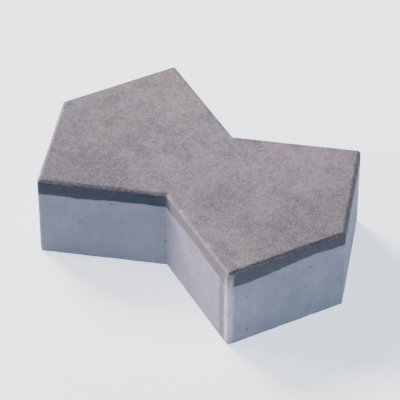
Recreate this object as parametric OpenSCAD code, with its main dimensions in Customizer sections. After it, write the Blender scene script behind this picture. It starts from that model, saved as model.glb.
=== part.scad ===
// Interlocking concrete paving stone.
// Stones lie on a square grid, every second one turned by a quarter turn,
// so that the noses of one fill the waists of its neighbours.
// The origin is on the bed face, under the middle of the stone.
// +X runs from the waist to a nose, +Z up to the wearing face.

/* [Laying pattern] */
// Distance from one stone to the next in the laid grid
pitch = 200; // [160:1:240]
// How far the noses stand out and the waists go in from the grid line
key_depth = 50; // [20:1:70]
// Width of the sanded joint between two stones
joint = 3; // [1:0.5:8]

/* [Stone] */
// Height from the bed face to the wearing face
thickness = 80; // [50:1:120]
// Width of the bevel round the wearing face, seen from above
bevel_width = 2.5; // [1:0.5:12]
// How far the bevel goes down the sides
bevel_drop = 2.5; // [1:0.5:12]
// Radius of the upright edges at the four corners
corner_radius = 3; // [0.5:0.5:12]

/* [Hidden] */
$fn = 64;

half_pitch = pitch / 2;
// Angle by which each side leans off the grid line
lean = atan(key_depth / half_pitch);
// Distance from the middle of the stone to a side that runs into a nose, and to one that runs into a waist
nose_reach = (half_pitch + key_depth) * cos(lean) - joint / 2;
waist_reach = (half_pitch - key_depth) * cos(lean) - joint / 2;
// Length of the sides before they are cut to the outline
side_length = 2 * pitch;
// Spare length of the shapes that are taken off the stone
spare = 10;

// Section of the bevel, as the wedge it takes off the top of a side
module bevel_wedge() {
    translate([0, thickness])
        polygon([
            [-2 * bevel_width, bevel_drop],
            [bevel_width, -2 * bevel_drop],
            [bevel_width, bevel_drop]
        ]);
}

// What the bevel takes off a side facing +X
module bevel_cut() {
    rotate([90, 0, 0])
        linear_extrude(2 * side_length, center = true)
            bevel_wedge();
}

// Upright round that fills a corner, with the bevel running round its top as a cone
module corner_round() {
    rotate_extrude()
        difference() {
            translate([0, -spare])
                square([corner_radius, spare + thickness + bevel_drop / 2]);
            translate([corner_radius, 0])
                bevel_wedge();
        }
}

// What the round leaves over of a square corner
module corner_cut() {
    translate([-corner_radius, -corner_radius, 0])
        difference() {
            translate([0, 0, -spare / 2])
                cube([corner_radius + spare, corner_radius + spare, thickness + spare]);
            corner_round();
        }
}

// Corner of the stone with its two sides facing +X and +Y, which would meet above the origin
module corner_block() {
    difference() {
        translate([-side_length, -side_length, 0])
            cube([side_length, side_length, thickness]);
        bevel_cut();
        mirror([1, -1, 0])
            bevel_cut();
        corner_cut();
    }
}

// Corner block at its place beside the nose
module placed_corner() {
    rotate([0, 0, lean])
        translate([nose_reach, waist_reach, 0])
            corner_block();
}

// Kite with the nose at one end: its tail ends inside the other kite, and they cross at the waist
module kite() {
    intersection() {
        placed_corner();
        mirror([0, 1, 0])
            placed_corner();
    }
}

// The whole stone: pressed concrete, cast in one piece
module paving_stone() {
    color([0.56, 0.54, 0.57]) {
        kite();
        mirror([1, 0, 0])
            kite();
    }
}

paving_stone();
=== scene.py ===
import math

import bmesh
import bpy
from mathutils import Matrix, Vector, noise


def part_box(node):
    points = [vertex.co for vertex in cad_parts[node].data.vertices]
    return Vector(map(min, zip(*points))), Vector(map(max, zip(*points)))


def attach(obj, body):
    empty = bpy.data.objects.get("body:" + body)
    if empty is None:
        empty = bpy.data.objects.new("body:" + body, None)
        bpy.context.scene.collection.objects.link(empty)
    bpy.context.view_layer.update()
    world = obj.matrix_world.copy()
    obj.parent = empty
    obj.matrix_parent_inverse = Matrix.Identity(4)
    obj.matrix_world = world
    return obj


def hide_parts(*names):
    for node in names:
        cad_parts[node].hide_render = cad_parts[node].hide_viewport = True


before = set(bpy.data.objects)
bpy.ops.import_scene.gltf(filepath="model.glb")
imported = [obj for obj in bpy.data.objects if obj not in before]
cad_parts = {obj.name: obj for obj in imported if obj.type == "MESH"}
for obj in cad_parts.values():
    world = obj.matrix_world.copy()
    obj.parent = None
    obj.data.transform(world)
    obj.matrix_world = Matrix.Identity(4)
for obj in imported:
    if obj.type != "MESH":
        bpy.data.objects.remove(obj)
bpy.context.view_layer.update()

# Paving stone
# One cast piece of concrete: a grey base mix with a finer, clouded face mix pressed on it wet in one steel
# mould. The mould drags and pits the sides as the stone is pushed out, and its die leaves the narrow bevel.
half_pitch = 0.100
key_depth = 0.050
joint = 0.003
bevel_width = 0.0025
bevel_drop = 0.0025
corner_radius = 0.003
face_depth = 0.014
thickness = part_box("paving_stone")[1].z
bevel_foot = thickness - bevel_drop
lean = math.atan2(key_depth, half_pitch)
cos_lean = math.cos(lean)
sin_lean = math.sin(lean)
nose_reach = (half_pitch + key_depth) * cos_lean - joint / 2
waist_reach = (half_pitch - key_depth) * cos_lean - joint / 2


def tip_places(inset):
    """How far the nose and the waist lie from the middle, on the outline this far inside the sides."""
    return (nose_reach - inset) / cos_lean, (waist_reach - inset) / cos_lean


def corner_place(inset):
    """Corner of a nose side and a waist side, on the outline this far inside the sides."""
    to_nose_side = nose_reach - inset
    to_waist_side = waist_reach - inset
    x = to_nose_side * cos_lean - to_waist_side * sin_lean
    y = to_nose_side * sin_lean + to_waist_side * cos_lean
    return x, y


def crowd_ends(share, crowding):
    """Shift a share between -1 and 1 so that the rows lie closer near 0 and near the ends."""
    return share - crowding / (2 * math.pi) * math.sin(2 * math.pi * share)


# A square block of cells is drawn out into the stone: its first axis runs to the noses, its second to the
# waists, and its rows go up the sides and then up the bevel
columns = 220
ranks = 136
side_rows = 45
bevel_rows = 4
rows = side_rows + bevel_rows
cell_crowding = 0.35
row_crowding = 0.5
mould = bmesh.new()
bmesh.ops.create_grid(mould, x_segments=columns, y_segments=ranks, size=1.0)
lifted = bmesh.ops.extrude_face_region(mould, geom=mould.faces[:])["geom"]
lifted_verts = [part for part in lifted if isinstance(part, bmesh.types.BMVert)]
bmesh.ops.translate(mould, vec=(0, 0, 1), verts=lifted_verts)
uprights = [edge for edge in mould.edges if edge.verts[0].co.z != edge.verts[1].co.z]
bmesh.ops.subdivide_edges(mould, edges=uprights, cuts=rows - 1, use_grid_fill=True)
bmesh.ops.recalc_face_normals(mould, faces=mould.faces[:])

round_x, round_y = corner_place(corner_radius)


def past_corner(x, y):
    """How far a place lies past the middle of the corner's round, towards nose side and waist side."""
    past_x = abs(x) - round_x
    past_y = abs(y) - round_y
    return past_x * cos_lean + past_y * sin_lean, past_y * cos_lean - past_x * sin_lean


for vert in mould.verts:
    row = round(vert.co.z * rows)
    climb = max(row - side_rows, 0) / bevel_rows
    height = crowd_ends(min(row / side_rows, 1), row_crowding) * bevel_foot + climb * bevel_drop
    nose, waist = tip_places(climb * bevel_width)
    corner_x, corner_y = corner_place(climb * bevel_width)
    along = crowd_ends(vert.co.x, cell_crowding)
    across = crowd_ends(vert.co.y, cell_crowding)
    x = along * ((1 - abs(across)) * nose + abs(across) * corner_x)
    y = across * ((1 - abs(along)) * waist + abs(along) * corner_y)
    # The upright edge of each corner is rounded off
    past_nose, past_waist = past_corner(x, y)
    if past_nose > 0 and past_waist > 0:
        pull = max(past_nose, past_waist) / math.hypot(past_nose, past_waist)
        x = math.copysign(round_x + (abs(x) - round_x) * pull, x)
        y = math.copysign(round_y + (abs(y) - round_y) * pull, y)
    vert.co = (x, y, height)

# All relief goes inwards from the pressed faces, so each pattern is lifted to lie almost wholly above zero
pattern_lift = 0.8
grain_smoothness = 0.8
grain_step = 2.2
grain_layers = 3
void_chance_scale = 37.1


def waves(place, per_metre):
    """Smooth waves, with so many to the metre."""
    return pattern_lift + noise.noise(place * per_metre)


def grain(place, per_metre):
    """Waves that carry finer and finer ones, as a sandy skin does."""
    return pattern_lift + noise.fractal(place * per_metre, grain_smoothness, grain_step, grain_layers)


def void_depth(place, spacing, widest, deepest):
    """Depth of the small air voids, at most one in each cell of a loose scatter."""
    distances, centres = noise.voronoi(place / spacing)
    radius = widest * noise.cell(centres[0] * void_chance_scale)
    distance = distances[0] * spacing
    return deepest * (1 - (distance / radius) ** 2) if distance < radius else 0.0


# Depths of the relief, and how far and how deep the arrises crumble
wearing_grain = 0.00005
wearing_waves = 0.00006
side_drag = 0.00009
side_grain = 0.00009
side_waves = 0.00006
drag_stretch = 8
crumble_reach = 0.0018
least_crumble = 0.00018
more_crumble = 0.00035
crumbs_per_metre = 95
crumb_lift = 0.1
bevel_slope = 1.4
foot_margin = 0.0001
mould.normal_update()
for vert in mould.verts:
    place = vert.co.copy()
    past_nose, past_waist = past_corner(place.x, place.y)
    if past_nose > 0 and past_waist > 0:
        from_rim = corner_radius - math.hypot(past_nose, past_waist)
    else:
        from_rim = corner_radius - max(past_nose, past_waist)
    if place.z > bevel_foot + foot_margin:
        to_arris = min(abs(from_rim - bevel_width), abs(place.z - bevel_foot) * bevel_slope)
        depth = wearing_grain * grain(place, per_metre=260)
        depth += wearing_waves * waves(place, per_metre=28)
        depth += void_depth(place, spacing=0.013, widest=0.0024, deepest=0.00045)
    else:
        to_arris = min(abs(place.z - bevel_foot), place.z + max(from_rim, 0))
        # Pushing the stone out of the mould draws these waves upright
        drawn_out = Vector((place.x, place.y, place.z / drag_stretch))
        depth = side_drag * waves(drawn_out, per_metre=240)
        depth += side_grain * grain(place, per_metre=180)
        depth += side_waves * waves(place, per_metre=24)
        if place.z < thickness - face_depth:
            depth += void_depth(place, spacing=0.016, widest=0.0036, deepest=0.0011)
    crumble = max(0.0, 1 - to_arris / crumble_reach) ** 2
    crumbs = max(0.0, noise.noise(place * crumbs_per_metre) + crumb_lift)
    depth += crumble * (least_crumble + more_crumble * crumbs)
    vert.co = place - vert.normal * max(depth, 0.0)

stone_mesh = bpy.data.meshes.new("paving_stone_cast")
mould.to_mesh(stone_mesh)
mould.free()
stone_mesh.shade_smooth()
stone = bpy.data.objects.new("paving_stone_cast", stone_mesh)
bpy.context.scene.collection.objects.link(stone)

# The concrete is one material: the face mix on top and down to its own depth on the sides, the base mix below
concrete = bpy.data.materials.new("clouded_concrete")
concrete.use_nodes = True
tree = concrete.node_tree
shader = tree.nodes["Principled BSDF"]
place_on_stone = tree.nodes.new("ShaderNodeTexCoord").outputs["Object"]


def feed(socket, value):
    """Link a socket to another one, or set it to a plain value."""
    if isinstance(value, bpy.types.NodeSocket):
        tree.links.new(value, socket)
    else:
        socket.default_value = value


def arithmetic(operation, first, second):
    """One step of arithmetic between two values."""
    step = tree.nodes.new("ShaderNodeMath")
    step.operation = operation
    feed(step.inputs[0], first)
    feed(step.inputs[1], second)
    return step.outputs["Value"]


def plus(first, second):
    return arithmetic("ADD", first, second)


def minus(first, second):
    return arithmetic("SUBTRACT", first, second)


def times(first, second):
    return arithmetic("MULTIPLY", first, second)


def between(value, low, high, at_low=0.0, at_high=1.0):
    """Smooth step from one level to another as the value goes from low to high."""
    step = tree.nodes.new("ShaderNodeMapRange")
    step.interpolation_type = "SMOOTHSTEP"
    feed(step.inputs["Value"], value)
    feed(step.inputs["From Min"], low)
    feed(step.inputs["From Max"], high)
    feed(step.inputs["To Min"], at_low)
    feed(step.inputs["To Max"], at_high)
    return step.outputs["Result"]


def fading(value, low, high, strength=1.0):
    """Smooth step from full strength down to nothing as the value goes from low to high."""
    return between(value, low, high, strength, 0.0)


def strayed(value, pattern, amount):
    """Value that a pattern between 0 and 1 moves up and down by its share of this amount."""
    return plus(value, times(minus(pattern, 0.5), amount))


def blend(share, first, second):
    """Colour that goes from the first to the second as the share grows."""
    mix = tree.nodes.new("ShaderNodeMix")
    mix.data_type = "RGBA"
    # The node has sockets of the same names for each kind of data, and these are the ones for colours
    feed(mix.inputs[0], share)
    feed(mix.inputs[6], first)
    feed(mix.inputs[7], second)
    return mix.outputs[2]


def stretched(scale, turn=(0, 0, 0)):
    """Places on the stone, turned and drawn out by a different scale along each axis."""
    mapping = tree.nodes.new("ShaderNodeMapping")
    feed(mapping.inputs["Vector"], place_on_stone)
    feed(mapping.inputs["Scale"], scale)
    feed(mapping.inputs["Rotation"], turn)
    return mapping.outputs["Vector"]


def mottle(per_metre, detail, roughness, where=place_on_stone, distortion=0.0):
    """Soft mottling between 0 and 1 with so many spots to the metre."""
    texture = tree.nodes.new("ShaderNodeTexNoise")
    feed(texture.inputs["Vector"], where)
    feed(texture.inputs["Scale"], per_metre)
    feed(texture.inputs["Detail"], detail)
    feed(texture.inputs["Roughness"], roughness)
    feed(texture.inputs["Distortion"], distortion)
    return texture.outputs["Fac"]


def grains(per_metre):
    """Cells like sand grains: the distance from the middle of a grain, and a chance value for each grain."""
    texture = tree.nodes.new("ShaderNodeTexVoronoi")
    feed(texture.inputs["Vector"], place_on_stone)
    feed(texture.inputs["Scale"], per_metre)
    chance = tree.nodes.new("ShaderNodeSeparateColor")
    feed(chance.inputs["Color"], texture.outputs["Color"])
    return texture.outputs["Distance"], chance.outputs["Red"]


place_on_plan = stretched((1, 1, 0))


def from_upright(x, y):
    """Distance from an upright line that stands at this place."""
    distance = tree.nodes.new("ShaderNodeVectorMath")
    distance.operation = "DISTANCE"
    feed(distance.inputs[0], place_on_plan)
    feed(distance.inputs[1], (x, y, 0))
    return distance.outputs["Value"]


def upright_mark(x, y, inner, outer, strength):
    """Mark along an upright line at this place, full up to the inner distance and gone at the outer one."""
    return fading(from_upright(x, y), inner, outer, strength)


axes = tree.nodes.new("ShaderNodeSeparateXYZ")
feed(axes.inputs["Vector"], place_on_stone)
toward_nose = axes.outputs["X"]
toward_back = axes.outputs["Y"]
height_on_stone = axes.outputs["Z"]

# Grain of the concrete, which both mixes have in their colour and in their relief
fine_grain = mottle(820, detail=2.0, roughness=0.6)
coarse_grain = mottle(150, detail=4.0, roughness=0.65)
speckle = plus(times(coarse_grain, 0.6), times(fine_grain, 0.4))
grit_distance, grit_chance = grains(430)
sand_distance, sand_chance = grains(1000)

# Face mix: pale greys that run into each other, pinkest towards the back of the right lobe
lilac_grey = (0.241, 0.226, 0.264, 1)
warm_grey = (0.247, 0.232, 0.246, 1)
pink_grey = (0.271, 0.223, 0.288, 1)
warm_patches = mottle(17, detail=4.0, roughness=0.55)
face_mix = blend(between(warm_patches, 0.38, 0.64), lilac_grey, warm_grey)
right_lobe_pink = upright_mark(x=0.060, y=0.045, inner=0.010, outer=0.090, strength=0.24)
pink_patches = plus(mottle(14, detail=4.0, roughness=0.6), right_lobe_pink)
face_mix = blend(between(pink_patches, 0.48, 0.74), face_mix, pink_grey)

# Faint, ragged slate clouds gather towards the front, most at the left front and the right nose
mid_slate = (0.126, 0.117, 0.155, 1)
cloud_slope = 0.6
cloud_raggedness = 0.6
cloud_thinning = 0.03
cloud_drift = stretched((0.7, 1.5, 1.0), turn=(0, 0, 0.6))
cloud = mottle(11, detail=6.0, roughness=0.6, where=cloud_drift, distortion=0.4)
left_front_cloud = upright_mark(x=-0.095, y=-0.055, inner=0.010, outer=0.120, strength=0.20)
right_nose_cloud = upright_mark(x=0.140, y=-0.015, inner=0.005, outer=0.095, strength=0.32)
small_cloud = upright_mark(x=0.046, y=-0.024, inner=0.004, outer=0.034, strength=0.22)
clear_back = upright_mark(x=0.070, y=0.060, inner=0.010, outer=0.070, strength=0.14)
clear_front = upright_mark(x=0.062, y=-0.056, inner=0.004, outer=0.036, strength=0.14)
for gathering in (left_front_cloud, right_nose_cloud, small_cloud):
    cloud = plus(cloud, gathering)
for clearing in (clear_back, clear_front):
    cloud = minus(cloud, clearing)
cloud = minus(cloud, times(toward_back, cloud_slope))
cloud = minus(strayed(cloud, speckle, cloud_raggedness), cloud_thinning)
face_mix = blend(between(cloud, 0.38, 0.80, at_high=0.75), face_mix, mid_slate)
clustered_grain = mottle(70, detail=5.0, roughness=0.70)
face_mix = blend(fading(clustered_grain, 0.34, 0.60, strength=0.68), face_mix, mid_slate)

# Pale and dark grains show in it: round bits of grit, and sand between them
pale_sand = (0.46, 0.43, 0.44, 1)
dark_sand = (0.060, 0.056, 0.072, 1)
round_grit = fading(grit_distance, 0.25, 0.55)
pale_grit = times(round_grit, between(grit_chance, 0.80, 0.95))
dark_grit = times(round_grit, fading(grit_chance, 0.05, 0.25))
face_mix = blend(times(pale_grit, 0.16), face_mix, pale_sand)
face_mix = blend(times(dark_grit, 0.26), face_mix, dark_sand)
face_mix = blend(between(sand_chance, 0.78, 0.92, at_high=0.30), face_mix, pale_sand)
face_mix = blend(fading(sand_chance, 0.08, 0.22, strength=0.34), face_mix, dark_sand)

# On the upright sides the face mix is a little darker, and painted shade makes it near black there; painted
# light makes it paler in places
rim_dark_and_shade = (0.028, 0.037, 0.055, 1)
rim_grit_and_lit_grey = (0.112, 0.104, 0.122, 1)
rim_stray = 0.004
rim_blur = 0.0008
# Painted light: the rim is paler on the lit front-left side and towards the right nose
painted_lit_stretch = upright_mark(x=0.046, y=-0.072, inner=0.034, outer=0.060, strength=1.0)
painted_light_right = between(toward_nose, 0.0, 0.1, at_high=0.30)
rim_mix_and_shade = blend(arithmetic("MAXIMUM", painted_lit_stretch, painted_light_right), rim_dark_and_shade, rim_grit_and_lit_grey)
rim_mix_and_shade = blend(times(pale_grit, 0.25), rim_mix_and_shade, rim_grit_and_lit_grey)
grainy_height = strayed(height_on_stone, speckle, rim_stray)
above_rim = between(grainy_height, bevel_foot - rim_blur, bevel_foot + rim_blur)
face_and_shaded_rim_mix = blend(above_rim, rim_mix_and_shade, face_mix)

# Base mix: blue grey, its blue cast partly painted cool light, with drag marks, a scatter of small voids
# painted dark as shade, and painted shade towards the left
base_light = (0.242, 0.257, 0.333, 1)
base_dark = (0.189, 0.202, 0.266, 1)
base_grain_and_shade = (0.118, 0.126, 0.168, 1)
void_painted_shade = (0.11, 0.12, 0.15, 1)
void_rarity = 0.62
void_width = 0.55
base_patches = mottle(30, detail=5.0, roughness=0.6)
base_mix = blend(between(base_patches, 0.3, 0.7), base_light, base_dark)
drag_marks = mottle(1.0, detail=3.0, roughness=0.6, where=stretched((260, 260, 9)))
base_mix = blend(between(drag_marks, 0.35, 0.75, at_high=0.3), base_mix, base_dark)
void_distance, void_chance = grains(120)
void_size = times(minus(void_chance, void_rarity), void_width)
voids = fading(minus(void_distance, void_size), -0.05, 0.05, strength=0.6)
# Painted shade: the voids are darkened as the shade in their hollows
base_mix = blend(voids, base_mix, void_painted_shade)
base_mix = blend(fading(speckle, 0.35, 0.62, strength=0.30), base_mix, base_grain_and_shade)
# Painted shade: darker towards the left, against the brighter light that falls there
base_mix = blend(fading(toward_nose, -0.08, 0.02, strength=0.42), base_mix, base_grain_and_shade)

# The two mixes meet along a slightly wavy, grainy line, which runs lower towards the near corner
seam_height = thickness - face_depth
seam_stray = 0.008
seam_blur = 0.0010
on_right_nose = between(toward_nose, 0.085, 0.105)
seam_tilt = between(toward_back, -0.090, -0.015, at_low=0.0030, at_high=-0.0020)
wavy_height = strayed(grainy_height, mottle(22, detail=2.0, roughness=0.5), seam_stray)
wavy_height = plus(wavy_height, times(on_right_nose, seam_tilt))
above_seam = between(wavy_height, seam_height - seam_blur, seam_height + seam_blur)
sides = blend(above_seam, base_mix, face_and_shaded_rim_mix)

# Painted highlight on the near corner's rounded upright edge, with a dark upright line beside it on the waist
# side
pale_highlight = (0.40, 0.42, 0.48, 1)
upright_line_dark = (0.105, 0.112, 0.138, 1)
upright_line_beside = 0.0115
highlight_beside = 0.0008
ragged_stray = 0.012
near_x, near_y = corner_place(0)


def from_near_corner(beside):
    """Distance from an upright line on the waist side, so far from the near corner, with ragged edges."""
    distance = from_upright(near_x - beside * cos_lean, beside * sin_lean - near_y)
    return strayed(distance, mottle(75, detail=4.0, roughness=0.6), ragged_stray)


# A dark upright line on the waist side, a little way from the near corner
upright_dark_line = fading(from_near_corner(upright_line_beside), 0.0015, 0.0070, strength=0.90)
# Painted highlight: the corner's rounded edge is painted pale, less so on the rim
corner_highlight = fading(from_near_corner(highlight_beside), 0.0025, 0.0070, strength=0.9)
corner_highlight = times(corner_highlight, between(coarse_grain, 0.30, 0.60, at_low=0.35))
corner_highlight = times(corner_highlight, between(wavy_height, seam_height, bevel_foot, at_low=1.0, at_high=0.45))
sides = blend(upright_dark_line, sides, upright_line_dark)
sides = blend(corner_highlight, sides, pale_highlight)
feed(shader.inputs["Base Color"], blend(above_rim, sides, face_and_shaded_rim_mix))
feed(shader.inputs["Roughness"], between(coarse_grain, 0.3, 0.7, at_low=0.82, at_high=0.95))
shader.inputs["Specular IOR Level"].default_value = 0.3

# Flat pressed grains with sunken gaps between them, in patches where the skin is open, and sunken voids
fine_depth = 0.25
coarse_depth = 0.35
gap_depth = 0.16
sunk_depth = 1.2
open_skin = between(mottle(190, detail=3.0, roughness=0.6), 0.40, 0.62, at_low=0.10)
sand_gaps = times(between(sand_distance, 0.30, 0.75), open_skin)
grit_gaps = times(between(grit_distance, 0.45, 0.80), open_skin)
sunk_voids = times(voids, minus(1.0, above_seam))
relief = plus(times(fine_grain, fine_depth), times(coarse_grain, coarse_depth))
relief = minus(relief, times(sand_gaps, gap_depth))
relief = minus(relief, times(grit_gaps, gap_depth))
relief = minus(relief, times(sunk_voids, sunk_depth))
bump = tree.nodes.new("ShaderNodeBump")
bump.inputs["Strength"].default_value = 0.6
bump.inputs["Distance"].default_value = 0.0009
feed(bump.inputs["Height"], relief)
feed(shader.inputs["Normal"], bump.outputs["Normal"])

stone_mesh.materials.append(concrete)
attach(stone, "root")
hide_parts("paving_stone")

# Floor
# A plain pale table that the stone lies on, which glows so that the shaded sides get light from below.
# It ends far off, with its edges turned up as a backdrop.
floor_reach = 12.0
floor_gap = 0.0002
backdrop_rise = 0.3
floor_cells = bmesh.new()
bmesh.ops.create_grid(floor_cells, x_segments=8, y_segments=8, size=floor_reach)
bmesh.ops.translate(floor_cells, vec=(0, 0, -floor_gap), verts=floor_cells.verts[:])
far_edges = [vert for vert in floor_cells.verts if vert.is_boundary]
bmesh.ops.translate(floor_cells, vec=(0, 0, backdrop_rise), verts=far_edges)
floor_mesh = bpy.data.meshes.new("floor")
floor_cells.to_mesh(floor_mesh)
floor_cells.free()
floor = bpy.data.objects.new("floor", floor_mesh)
bpy.context.scene.collection.objects.link(floor)
pale_table = bpy.data.materials.new("pale_table")
pale_table.use_nodes = True
table_shader = pale_table.node_tree.nodes["Principled BSDF"]
table_shader.inputs["Base Color"].default_value = (0.86, 0.88, 0.90, 1)
table_shader.inputs["Roughness"].default_value = 0.9
table_shader.inputs["Specular IOR Level"].default_value = 0.1
table_shader.inputs["Emission Color"].default_value = (0.76, 0.88, 1.0, 1)
table_shader.inputs["Emission Strength"].default_value = 1.7
floor_mesh.materials.append(pale_table)

# Studio light
# A large soft lamp from the left gives the top its light, a low one picks out the left front,
# and a weak cool one on the right and a dim sky fill the shade.
stone_middle = Vector((0, 0, thickness / 2))


def direction(azimuth, elevation):
    """Unit vector for angles in degrees, with the azimuth counted from +X towards +Y."""
    turn = math.radians(azimuth)
    climb = math.radians(elevation)
    return Vector((math.cos(turn) * math.cos(climb), math.sin(turn) * math.cos(climb), math.sin(climb)))


def aim(thing, away, distance):
    """Set a lamp or camera so far from the stone, facing its middle, and put it in the scene."""
    thing.location = stone_middle + away * distance
    thing.rotation_euler = away.to_track_quat("Z", "Y").to_euler()
    bpy.context.scene.collection.objects.link(thing)


def soft_lamp(name, azimuth, elevation, distance, size, power, colour):
    """Square lamp that faces the stone."""
    light = bpy.data.lights.new(name, "AREA")
    light.size = size
    light.energy = power
    light.color = colour
    aim(bpy.data.objects.new(name, light), direction(azimuth, elevation), distance)


soft_lamp("key_lamp", 164, 40, distance=5.2, size=1.8, power=568, colour=(1.0, 0.95, 0.92))
soft_lamp("left_lamp", 202, 12, distance=4.8, size=1.0, power=396, colour=(1.0, 0.77, 0.73))
soft_lamp("right_lamp", 5, 25, distance=2.4, size=0.8, power=6, colour=(0.62, 0.82, 1.0))
sky = bpy.data.worlds.new("studio")
sky.use_nodes = True
sky_shader = sky.node_tree.nodes["Background"]
sky_shader.inputs["Color"].default_value = (0.72, 0.86, 1.0, 1)
sky_shader.inputs["Strength"].default_value = 0.09
bpy.context.scene.world = sky

# Camera
# It stands above the right front, at the photograph's viewing angle and distance, with a long lens.
camera_turn = 36.1
camera_elevation = 41.1
camera_distance = 2.08
view_data = bpy.data.cameras.new("view")
view_data.sensor_width = 36
view_data.lens = 218
camera = bpy.data.objects.new("view", view_data)
aim(camera, direction(camera_turn - 90, camera_elevation), camera_distance)
bpy.context.scene.camera = camera
